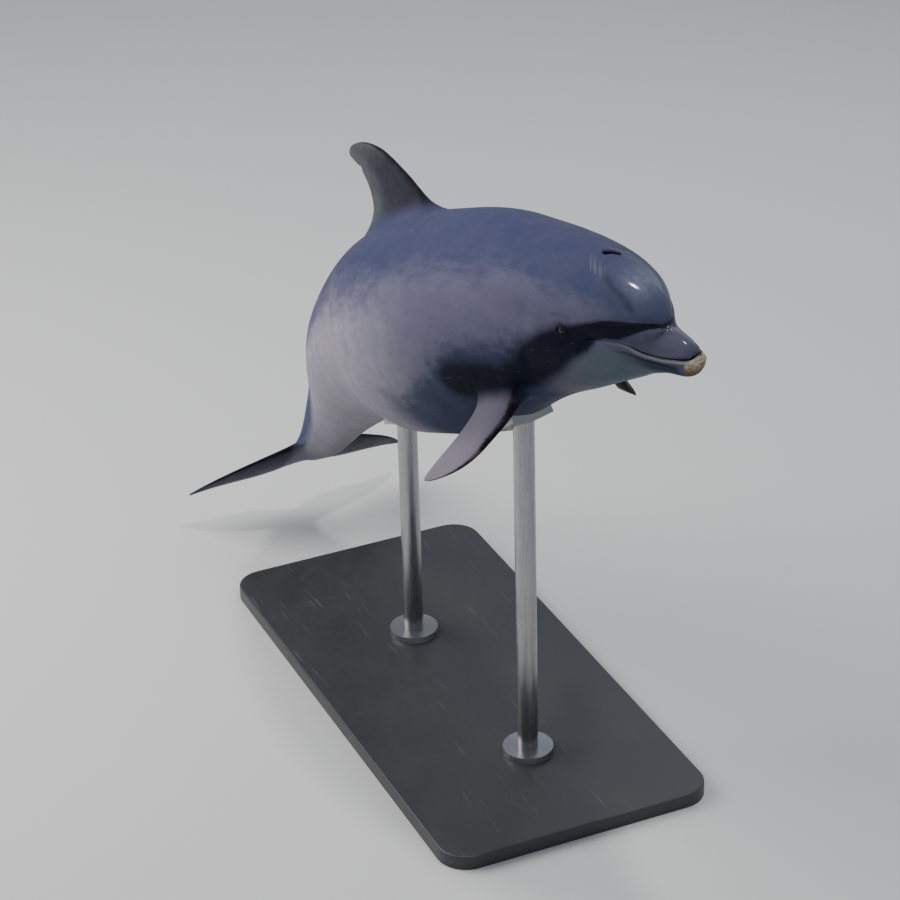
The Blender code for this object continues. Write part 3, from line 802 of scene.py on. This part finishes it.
def storeMarks(bm, carved):
    # what the skin's colours are placed by
    straight = straightOf(bm.verts)
    s, y, z = straight.T
    off = besideMouth(straight)
    below = -offMouth(straight)
    path = np.array(faceBand["path"]) / 1000
    gap, share = awayFrom(path, np.column_stack([s, np.abs(y), z]))
    bandShare = awayFrom(path, path)[1]
    upperJaw = (ramp(off, -0.002, 0.002) * ramp(z - between(markMake["beakTop"], s), 0, -0.006)
                * ramp(s, 0.185, 0.125) * (s < 0.2))
    marks = {
        "band": hill(gap, 0, np.interp(share, bandShare, faceBand["half"]) / 1000),
        # 0 along the back to 1 along the belly
        "girth": np.arctan2(np.abs(y), z - between(markMake["middle"], s)) / math.pi,
        **carved,
        "eyeRing": hill(np.maximum(eyeGap(straight) - 0.015, 0), 0, 0.006),
        "lowerLip": hill(off, -0.0054, 0.0021) * ramp(s, 0.175, 0.125),
        "jawTip": ramp(s + 0.3 * (z + 0.004), 0.010, 0.003) * (off < 0.001),
        "beak": np.maximum(ramp(s, 0.074, 0.068), upperJaw),
        "jaw": (ramp(s, 0.150, 0.090) * ramp(s, 0.018, 0.030) * ramp(off, -0.009, -0.015)
                * ramp(off, -0.052, -0.032)),
        "melon": hill(s, 0.138, 0.034) * hill(y, 0, 0.042) * (z > 0.06),
        "throat": ramp(s, 0.34, 0.18) * ramp(below, 0.010, 0.030) * ramp(s, 0.03, 0.08),
    }
    for name in marks:
        bm.verts.layers.float.new(name)
    pose = bm.verts.layers.float_vector.new("pose")
    layers = [bm.verts.layers.float[name] for name in marks]
    for v, place, *values in zip(bm.verts, straight, *marks.values()):
        v[pose] = Vector(place)
        for layer, value in zip(layers, values):
            v[layer] = float(value)


settleVerts(skin)
carved = carve(skin)
skin.normal_update()
storeMarks(skin, carved)


def keepPiece(name, bm, inPlaceOf):
    # a finished piece that stands in for parts of the solid model
    piece = addPiece(name, bm)
    bm.free()
    piece.data.shade_smooth()
    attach(piece, "root")
    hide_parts(*inPlaceOf)
    print(name + ":", sum(len(p.vertices) - 2 for p in piece.data.polygons), "triangles")
    return piece


skinPiece = keepPiece("dolphin_skin", skin, fleshNodes)


class Web:
    # the nodes of one material or group, and short ways to add to them
    def __init__(self, tree):
        self.tree = tree

    def join(self, value, socket):
        if isinstance(value, bpy.types.NodeSocket):
            self.tree.links.new(value, socket)
        else:
            socket.default_value = (*value, 1) if socket.type == "RGBA" else value

    def add(self, kind, inputs=None, **settings):
        made = self.tree.nodes.new(kind)
        for name, value in settings.items():
            setattr(made, name, value)
        for name, value in (inputs or {}).items():
            self.join(value, made.inputs[name])
        return made.outputs

    def math(self, operation, a, b=0.0, c=0.0):
        return self.add("ShaderNodeMath", {0: a, 1: b, 2: c}, operation=operation)[0]

    def times(self, a, b):
        return self.math("MULTIPLY", a, b)

    def plus(self, a, b):
        return self.math("ADD", a, b)

    def minus(self, a, b):
        return self.math("SUBTRACT", a, b)

    def vector(self, operation, a, b=(0, 0, 0), output=0):
        return self.add("ShaderNodeVectorMath", {0: a, 1: b}, operation=operation)[output]

    def spread(self, value, low, high, start=0.0, end=1.0):
        # eases a value between two limits onto another range
        limits = {"Value": value, "From Min": low, "From Max": high, "To Min": start, "To Max": end}
        return self.add("ShaderNodeMapRange", limits, interpolation_type="SMOOTHSTEP")["Result"]

    def tint(self, share, below, above):
        return self.add("ShaderNodeMix", {0: share, 6: below, 7: above}, data_type="RGBA")[2]

    def attribute(self, name, output="Fac"):
        return self.add("ShaderNodeAttribute", attribute_name=name)[output]

    def stretched(self, vector, scale, turn=(0, 0, 0)):
        return self.add("ShaderNodeMapping", {"Vector": vector, "Rotation": turn, "Scale": scale})[0]

    def clouds(self, vector, scale, detail=4.0, roughness=0.55, distortion=0.0):
        return self.add("ShaderNodeTexNoise", {"Vector": vector, "Scale": scale, "Detail": detail,
                                               "Roughness": roughness, "Distortion": distortion})["Fac"]

    def use(self, group, vector, **amounts):
        return self.add("ShaderNodeGroup", {"Vector": vector, **amounts}, node_tree=group)

    def mottled(self, vector, scale, contrast):
        return self.use(mottle, vector, Scale=scale, Contrast=contrast)["Mask"]

    def scratched(self, vector, scale, amount):
        return self.use(scratches, vector, Scale=scale, Amount=amount)["Mask"]

    def bump(self, strength, distance, height):
        relief = {"Strength": strength, "Distance": distance, "Height": height}
        return self.add("ShaderNodeBump", relief)[0]

    def surface(self, values):
        # sets or links what the shader takes
        for name, value in values.items():
            self.join(value, self.tree.nodes["Principled BSDF"].inputs[name])


def newMaterial(name):
    material = bpy.data.materials.new(name)
    material.use_nodes = True
    return material, Web(material.node_tree)


def newGroup(name, amounts, gives):
    # takes a vector and the named amounts, and gives the named values
    tree = bpy.data.node_groups.new(name, "ShaderNodeTree")
    for label in ("Vector", *amounts, *gives):
        tree.interface.new_socket(name=label, in_out="OUTPUT" if label in gives else "INPUT",
                                  socket_type=f"NodeSocket{'Vector' if label == 'Vector' else 'Float'}")
    given = tree.nodes.new("NodeGroupInput").outputs
    return Web(tree), given, tree.nodes.new("NodeGroupOutput").inputs


def makeMottle():
    # soft blotches in two sizes
    web, given, out = newGroup("softMottle", ["Scale", "Contrast"], ["Mask"])
    broad = web.clouds(given["Vector"], given["Scale"], 3.0, 0.5, 0.4)
    fine = web.clouds(given["Vector"], web.times(given["Scale"], 5.3), 4.0, 0.62)
    both = web.math("MULTIPLY_ADD", fine, 0.45, web.times(broad, 0.55))
    edge = web.times(given["Contrast"], 0.42)
    web.join(web.spread(both, web.plus(edge, 0.06), web.minus(0.94, edge)), out["Mask"])
    return web.tree


def makeScratches():
    # short fine marks that lie one way, in patches
    web, given, out = newGroup("fineScratches", ["Scale", "Amount"], ["Mask"])
    lines = web.clouds(given["Vector"], given["Scale"], 1.0, 0.4)
    edge = web.minus(0.72, web.times(given["Amount"], 0.10))
    thin = web.spread(lines, edge, web.plus(edge, 0.07))
    patches = web.clouds(given["Vector"], web.times(given["Scale"], 0.13), 2.0)
    web.join(web.times(thin, web.spread(patches, 0.44, 0.60)), out["Mask"])
    return web.tree


def makeFilm():
    # water drawn into runs: where it lies, and how high it stands
    web, given, out = newGroup("wetFilm", ["Scale"], ["Wet", "Height"])
    runs = web.clouds(given["Vector"], given["Scale"], 3.0, 0.5, 0.8)
    beads = web.clouds(given["Vector"], web.times(given["Scale"], 6.0), 2.0, 0.5)
    web.join(web.spread(runs, 0.38, 0.62), out["Wet"])
    web.join(web.plus(runs, web.times(beads, 0.25)), out["Height"])
    return web.tree


mottle = makeMottle()
scratches = makeScratches()
wetFilm = makeFilm()

skinLook = {
    # the body, from back to belly, and its patches
    "cape": (0.036, 0.046, 0.112), "flank": (0.134, 0.126, 0.200), "side": (0.128, 0.123, 0.170),
    # low is painted shade along the lower side
    "belly": (0.18, 0.175, 0.19), "rear": (0.480, 0.440, 0.495), "low": (0.003, 0.015, 0.056),
    # scratchAndSheen is the pale of the real scratches and of the wrinkles' painted highlights
    "mauve": (0.105, 0.074, 0.118), "green": (0.062, 0.092, 0.118), "scratchAndSheen": (0.26, 0.26, 0.29),
    # the head
    "melon": (0.160, 0.176, 0.255), "band": (0.0002, 0.002, 0.011), "throat": (0.102, 0.146, 0.156),
    "beak": (0.078, 0.080, 0.118), "jaw": (0.023, 0.026, 0.054), "lowerLip": (0.30, 0.29, 0.27),
    "jawTip": (0.57, 0.48, 0.32), "jawLow": (0.085, 0.055, 0.030), "jawMark": (0.150, 0.100, 0.052),
    # inside is painted shade deep in the mouth line and the blowhole
    "inside": (0.003, 0.002, 0.004), "eyeRing": (0.005, 0.006, 0.010),
    # the limbs
    # flipper is pale as a painted sheen; the far flipper is darkened with painted shade
    "flipper": (0.220, 0.198, 0.236), "flipperRoot": (0.125, 0.116, 0.150),
    "flipperEdge": (0.010, 0.003, 0.007), "shadedFarFlipper": (0.026, 0.009, 0.018),
    "fin": (0.024, 0.026, 0.031), "finTip": (0.088, 0.094, 0.108), "finEdge": (0.006, 0.007, 0.012),
    "finRear": (0.084, 0.089, 0.087), "fluke": (0.040, 0.041, 0.058), "flukeRear": (0.090, 0.088, 0.110),
}

# how strongly some layers lie over what is under them
skinCover = {
    "streaks": 0.10, "speckle": 0.22, "limbSpeckle": 0.18, "band": 0.95, "beak": 0.90, "jaw": 0.85,
    "lowerLip": 0.75, "rake": 0.12, "wrinkle": 0.30, "shade": 0.80, "eyeRing": 0.80,
}


def laid(web, color, *layers):
    # each layer is the share of it that shows and the name of its colour
    for share, name in layers:
        color = web.tint(share, color, skinLook[name])
    return color


def covered(web, name):
    return web.times(web.attribute(name), skinCover[name])


def bodyColor(web, s, drift, wide, small, streaks, pose):
    over = web.minus(drift, web.spread(s, 1.45, 2.05, 0.0, 0.20))    # the cape widens to the tail
    # painted shade: the lower side between flank and belly, from the chest to mid-body, darkened as if
    # unlit from below
    low = web.minus(drift, web.spread(s, 0.52, 0.88, 0.0, 0.13))
    low = web.times(web.spread(low, 0.50, 0.62), web.spread(s, 0.30, 0.42))
    low = web.times(low, web.spread(s, 0.84, 1.04, 0.84, 0.0))
    # a paler rear flank, painted brighter still as reflected light falling on it
    rear = web.times(web.spread(s, 0.62, 1.15), web.spread(over, 0.30, 0.46))
    rear = web.times(rear, web.spread(s, 1.70, 2.15, 1.0, 0.25))
    rear = web.times(rear, web.minus(0.75, web.times(low, 0.75)))
    mauve = web.mottled(web.stretched(pose, (0.7, 1.0, 1.0), (0, 0, 0.8)), 5.0, 0.30)
    green = web.mottled(web.stretched(pose, (1.3, 0.8, 0.8), (0.4, 0, 0)), 6.5, 0.35)
    grainy = web.spread(web.clouds(pose, 70.0, 5.0, 0.7), 0.30, 0.62, 0.45, 0.95)
    # a paler throat, tinted green as painted light reflected from below
    throat = web.times(web.attribute("throat"), web.spread(small, 0.0, 1.0, 0.5, 0.95))
    # the real dark stripe, darkened further with painted shade from the melon's overhang
    band = web.times(web.attribute("band"), web.spread(wide, 0.0, 1.0, 0.8, 1.0))
    band = web.times(band, web.spread(s, 0.27, 0.42, 1.0, 0.74))
    return laid(web, skinLook["cape"],
                (web.spread(over, 0.20, 0.36), "flank"),
                (web.spread(drift, 0.42, 0.66), "side"),
                (web.spread(drift, 0.76, 0.92), "belly"),
                (low, "low"),
                (rear, "rear"),
                (web.times(mauve, web.spread(drift, 0.10, 0.40, 0.42, 0.10)), "mauve"),
                (web.times(green, web.spread(s, 0.10, 0.30, 0.30, 0.12)), "green"),
                # a paler patch on the melon, painted bluer and brighter as the sheen of the sky on wet
                # skin
                (web.times(web.attribute("melon"), grainy), "melon"),
                (throat, "throat"),
                (web.times(streaks, skinCover["streaks"]), "side"),
                (web.times(small, skinCover["speckle"]), "cape"),
                (web.spread(band, 0.06, 0.52, 0.0, skinCover["band"]), "band"))


def limbColor(web, color, y, small):
    chord = web.attribute("limbChord")
    lead = web.spread(web.plus(chord, web.times(small, 0.05)), 0.03, 0.13, 1.0, 0.0)
    for name, root, plain, edge, rear in (("dorsal_fin", 0.06, "fin", "finEdge", "finRear"),
                                          ("flipper", 0.06, "flipper", "flipperEdge", "flipper"),
                                          ("fluke", 0.00, "fluke", "finEdge", "flukeRear")):
        reach = web.attribute(name)
        layers = [(web.spread(chord, 0.45, 1.0), rear),
                  (web.times(small, skinCover["limbSpeckle"]), "cape")]
        # the flippers' pale is a painted sheen, and the far one is darkened with painted shade
        if name == "flipper":
            layers += [(web.spread(reach, 0.35, 0.65, 1.0, 0.0), "flipperRoot"),
                       (web.spread(y, 0.05, 0.12, 0.0, 0.85), "shadedFarFlipper")]
        if name == "dorsal_fin":
            layers.append((web.spread(reach, 0.50, 0.90, 0.0, 0.75), "finTip"))
        limb = laid(web, skinLook[plain], *layers, (lead, edge))
        color = web.tint(web.spread(reach, root, root + 0.20), color, limb)
    return color


def mouthColor(web, color, z, pose):
    grain = web.clouds(web.stretched(pose, (1.0, 1.0, 1.3)), 150.0, 4.0, 0.6)
    # the jaw tip is yellowish on top and brown below, partly its own colour and partly painted shade
    # beneath it
    tip = laid(web, skinLook["jawLow"], (web.spread(z, -0.030, 0.002), "jawTip"),
               (web.spread(grain, 0.42, 0.66, 0.0, 0.85), "jawMark"))
    # the lower jaw's side below the lip is darkened: painted shade where it faces down
    color = laid(web, color, (covered(web, "beak"), "beak"), (covered(web, "jaw"), "jaw"))
    color = web.tint(web.attribute("jawTip"), color, tip)
    # a paler lower lip, painted lighter still as a highlight along its roll
    return laid(web, color, (covered(web, "lowerLip"), "lowerLip"))


def makeSkin():
    material, web = newMaterial("wetDolphinSkin")
    pose = web.attribute("pose", "Vector")
    s, y, z = web.add("ShaderNodeSeparateXYZ", {0: pose})[:3]
    girth = web.attribute("girth")
    wide = web.mottled(web.stretched(pose, (0.55, 1.2, 1.2)), 7.0, 0.45)
    small = web.mottled(pose, 26.0, 0.6)
    streaks = web.mottled(web.stretched(pose, (2.6, 0.5, 0.5)), 16.0, 0.75)
    drift = web.math("MULTIPLY_ADD", wide, 0.12, web.minus(girth, 0.06))
    color = bodyColor(web, s, drift, wide, small, streaks, pose)
    color = limbColor(web, color, y, small)
    color = mouthColor(web, color, z, pose)

    # scratches and the painted highlights beside the wrinkles, then painted shade in the creases, folds,
    # mouth line and blowhole, and the ring round the eye
    rake = web.scratched(web.stretched(pose, (0.05, 1, 1), (0, 0.30, 0.35)), 210.0, 0.5)
    deep = web.math("MAXIMUM", web.attribute("slit"), web.attribute("lipLine"))
    color = laid(web, color, (web.times(rake, skinCover["rake"]), "scratchAndSheen"),
                 (covered(web, "wrinkle"), "scratchAndSheen"), (covered(web, "shade"), "band"),
                 (covered(web, "eyeRing"), "eyeRing"), (web.spread(deep, 0.12, 0.48), "inside"))

    film = web.use(wetFilm, web.stretched(pose, (0.6, 0.8, 0.8)), Scale=30.0)
    rough = web.plus(web.spread(film["Wet"], 0.0, 1.0, 0.64, 0.54), web.times(rake, 0.10))
    pores = web.clouds(web.stretched(pose, (0.5, 1.0, 1.0)), 520.0, 3.0, 0.6)
    height = web.plus(web.times(pores, 0.35), web.times(film["Height"], 0.6))
    height = web.minus(height, web.times(rake, 0.5))
    wetCrown = web.times(web.spread(s, 0.13, 0.22, 0.45, 0.0), web.spread(girth, 0.24, 0.40, 1.0, 0.15))
    web.surface({"Base Color": color, "Roughness": rough, "Specular IOR Level": 0.08,
                 "Coat Weight": wetCrown, "Coat Roughness": 0.10,
                 "Normal": web.bump(0.35, 0.0016, height)})
    return material


skinPiece.data.materials.append(makeSkin())

eyeLook = {
    "pupil": (0.0030, 0.0021),   # half width and half height
    "iris": 0.0068,
    "irisEdge": 0.0006,
    "corneaRise": 0.0007,
    "corneaReach": 0.00782,
    "pupilColor": (0.002, 0.002, 0.003),
    "irisColor": (0.007, 0.005, 0.004), "irisFleck": (0.018, 0.011, 0.007),
    "whiteColor": (0.012, 0.010, 0.010), "veinColor": (0.016, 0.006, 0.006),
}


def makeEye(side):
    centre, radius, axis, ahead, above = eyeFrames[side]
    material, web = newMaterial(f"glossyEye_{side}")
    place = web.add("ShaderNodeTexCoord")["Object"]
    off = web.vector("SUBTRACT", place, centre)
    across, up = (web.vector("DOT_PRODUCT", off, way, "Value") for way in (ahead, above))
    flat = web.add("ShaderNodeCombineXYZ", {"X": across, "Y": up})[0]
    away = web.vector("LENGTH", flat, output="Value")
    ray = web.math("ARCTAN2", up, across)
    wheel = web.add("ShaderNodeCombineXYZ", {"X": web.times(ray, 9.0), "Y": web.times(away, 260.0)})[0]
    flecks = web.clouds(wheel, 1.0, 3.0, 0.6)
    iris = web.tint(web.spread(flecks, 0.40, 0.70), eyeLook["irisColor"], eyeLook["irisFleck"])
    veins = web.clouds(place, 420.0, 4.0, 0.65, 1.2)
    white = web.tint(web.spread(veins, 0.50, 0.62), eyeLook["whiteColor"], eyeLook["veinColor"])
    edge = [eyeLook["iris"] + way * eyeLook["irisEdge"] for way in (-1, 1)]
    color = web.tint(web.spread(away, *edge), iris, white)
    wide, tall = eyeLook["pupil"]
    oval = web.vector("LENGTH", web.vector("MULTIPLY", flat, (1 / wide, 1 / tall, 0)), output="Value")
    color = web.tint(web.spread(oval, 0.9, 1.1), eyeLook["pupilColor"], color)
    web.surface({"Base Color": color, "Roughness": web.spread(veins, 0.3, 0.7, 0.05, 0.12),
                 "Specular IOR Level": 0.25, "Coat Weight": 0.35, "Coat Roughness": 0.04})
    return material


def buildEyeball(side):
    centre, radius, axis, ahead, above = eyeFrames[side]
    bm = bmesh.new()
    bmesh.ops.create_uvsphere(bm, u_segments=40, v_segments=28, radius=radius)
    for v in bm.verts:
        across = math.hypot(v.co.x, v.co.y)
        if v.co.z > 0 and across < eyeLook["corneaReach"]:
            v.co.z += eyeLook["corneaRise"] * (1 - (across / eyeLook["corneaReach"]) ** 2)
    turn = Matrix((ahead, axis.cross(ahead), axis)).transposed().to_4x4()
    bmesh.ops.transform(bm, matrix=Matrix.Translation(centre) @ turn, verts=bm.verts)
    piece = keepPiece(f"eyeball_{side}", bm, [f"eye_{side}"])
    piece.data.materials.append(makeEye(side))


for side in ("left", "right"):
    buildEyeball(side)

standLook = {
    "paint": (0.030, 0.031, 0.034), "paintWorn": (0.060, 0.061, 0.064), "dust": (0.20, 0.20, 0.19),
    "steel": (0.42, 0.42, 0.43), "steelDark": (0.30, 0.30, 0.31),
}


def makePaint():
    material, web = newMaterial("satinBasePaint")
    place = web.add("ShaderNodeTexCoord")["Object"]
    wide = web.mottled(place, 5.0, 0.4)
    marks = web.scratched(web.stretched(place, (0.06, 1, 1), (0, 0, 0.5)), 160.0, 0.4)
    color = web.tint(web.times(wide, 0.35), standLook["paint"], standLook["paintWorn"])
    grit = web.spread(web.clouds(place, 700.0, 2.0, 0.5), 0.66, 0.72)
    up = web.add("ShaderNodeSeparateXYZ", {0: web.add("ShaderNodeNewGeometry")["Normal"]})[2]
    dusty = web.times(web.spread(up, 0.7, 1.0), web.times(grit, wide))
    color = web.tint(web.times(dusty, 0.5), color, standLook["dust"])
    color = web.tint(web.times(marks, 0.20), color, standLook["dust"])
    rough = web.plus(web.spread(wide, 0.0, 1.0, 0.36, 0.46), web.times(marks, 0.15))
    peel = web.clouds(place, 260.0, 2.0, 0.5)
    web.surface({"Base Color": color, "Roughness": rough, "Normal": web.bump(0.25, 0.0008, peel)})
    return material


def makeSteel():
    material, web = newMaterial("brushedRodSteel")
    place = web.add("ShaderNodeTexCoord")["Object"]
    grain = web.clouds(web.stretched(place, (1, 1, 0.012)), 900.0, 3.0, 0.6)
    wide = web.mottled(place, 14.0, 0.5)
    marks = web.scratched(web.stretched(place, (1, 1, 0.08)), 260.0, 0.5)
    color = web.tint(web.spread(grain, 0.35, 0.65), standLook["steelDark"], standLook["steel"])
    rough = web.plus(web.spread(wide, 0.0, 1.0, 0.28, 0.38), web.times(marks, 0.16))
    web.surface({"Base Color": color, "Roughness": rough, "Normal": web.bump(0.2, 0.0003, grain),
                 "Metallic": 1.0, "Anisotropic": 0.4})
    return material


finishes = {"stand_base": makePaint(), "stand_rod_front": makeSteel()}
finishes["stand_rod_rear"] = finishes["stand_rod_front"]
for name, material in finishes.items():
    for slot in nodes[name].material_slots:
        slot.material = material
print("stand: done")

roomMake = {
    "floor": 7.0,            # from its middle to each side
    "floorColor": (0.70, 0.70, 0.69),
    "floorRough": 0.8,
    "world": (0.78, 0.84, 0.94, 1),
    "worldStrength": 0.45,
}


def buildFloor():
    bm = bmesh.new()
    bmesh.ops.create_grid(bm, x_segments=1, y_segments=1, size=roomMake["floor"])
    piece = addPiece("floor", bm)
    bm.free()
    material, web = newMaterial("paleFloor")
    web.surface({"Base Color": roomMake["floorColor"], "Roughness": roomMake["floorRough"]})
    piece.data.materials.append(material)


buildFloor()

world = bpy.context.scene.world or bpy.data.worlds.new("world")
bpy.context.scene.world = world
world.use_nodes = True
sky = world.node_tree.nodes["Background"]
sky.inputs["Color"].default_value = roomMake["world"]
sky.inputs["Strength"].default_value = roomMake["worldStrength"]

cameraMake = {
    "azimuth": 63.0,         # seen from the right side and ahead
    "height": 26.4,
    "distance": 6.2,
    "lens": 120.0,
    "sensor": 36.0,
    "sight": 0.265,          # the place along the body that the framing is set by
    "across": 0.676,         # where it lies in the frame, from the left and from the top
    "down": 0.366,
}


def aimCamera():
    azimuth, height = (math.radians(cameraMake[k]) for k in ("azimuth", "height"))
    back = Vector((math.sin(azimuth) * math.cos(height), -math.cos(azimuth) * math.cos(height),
                   math.sin(height)))
    right = Vector((math.cos(azimuth), math.sin(azimuth), 0))
    above = back.cross(right)
    reach = cameraMake["sensor"] / cameraMake["lens"]
    look = (-back - right * (cameraMake["across"] - 0.5) * reach
            - above * (0.5 - cameraMake["down"]) * reach)
    data = bpy.data.cameras.new("camera")
    data.lens = cameraMake["lens"]
    data.sensor_width = cameraMake["sensor"]
    camera = bpy.data.objects.new("camera", data)
    sight = Vector(backbone.bend((cameraMake["sight"], 0, 0))[0])
    camera.location = sight + back * cameraMake["distance"]
    behind = -look.normalized()
    side = above.cross(behind).normalized()
    camera.rotation_euler = Matrix((side, behind.cross(side), behind)).transposed().to_euler()
    bpy.context.collection.objects.link(camera)
    bpy.context.scene.camera = camera


aimCamera()

lightMake = {
    # place, what it points at, side of the square, watts, colour
    "key": ((-2.2, -2.8, 3.6), (-0.1, 0.0, 1.0), 3.6, 220, (1.0, 0.97, 0.94)),
    "top": ((0.5, 0.6, 4.8), (0.6, 0.1, 1.3), 0.30, 60, (1.0, 0.98, 0.95)),
    "rim": ((-2.4, 3.2, 3.0), (0.0, 0.0, 1.1), 3.0, 24, (0.86, 0.93, 1.0)),
}

for name, (place, target, side, watts, color) in lightMake.items():
    lamp = bpy.data.lights.new(name, "AREA")
    lamp.size = side
    lamp.energy = watts
    lamp.color = color
    light = bpy.data.objects.new(name, lamp)
    light.location = place
    light.rotation_euler = (Vector(target) - Vector(place)).to_track_quat("-Z", "Y").to_euler()
    bpy.context.collection.objects.link(light)
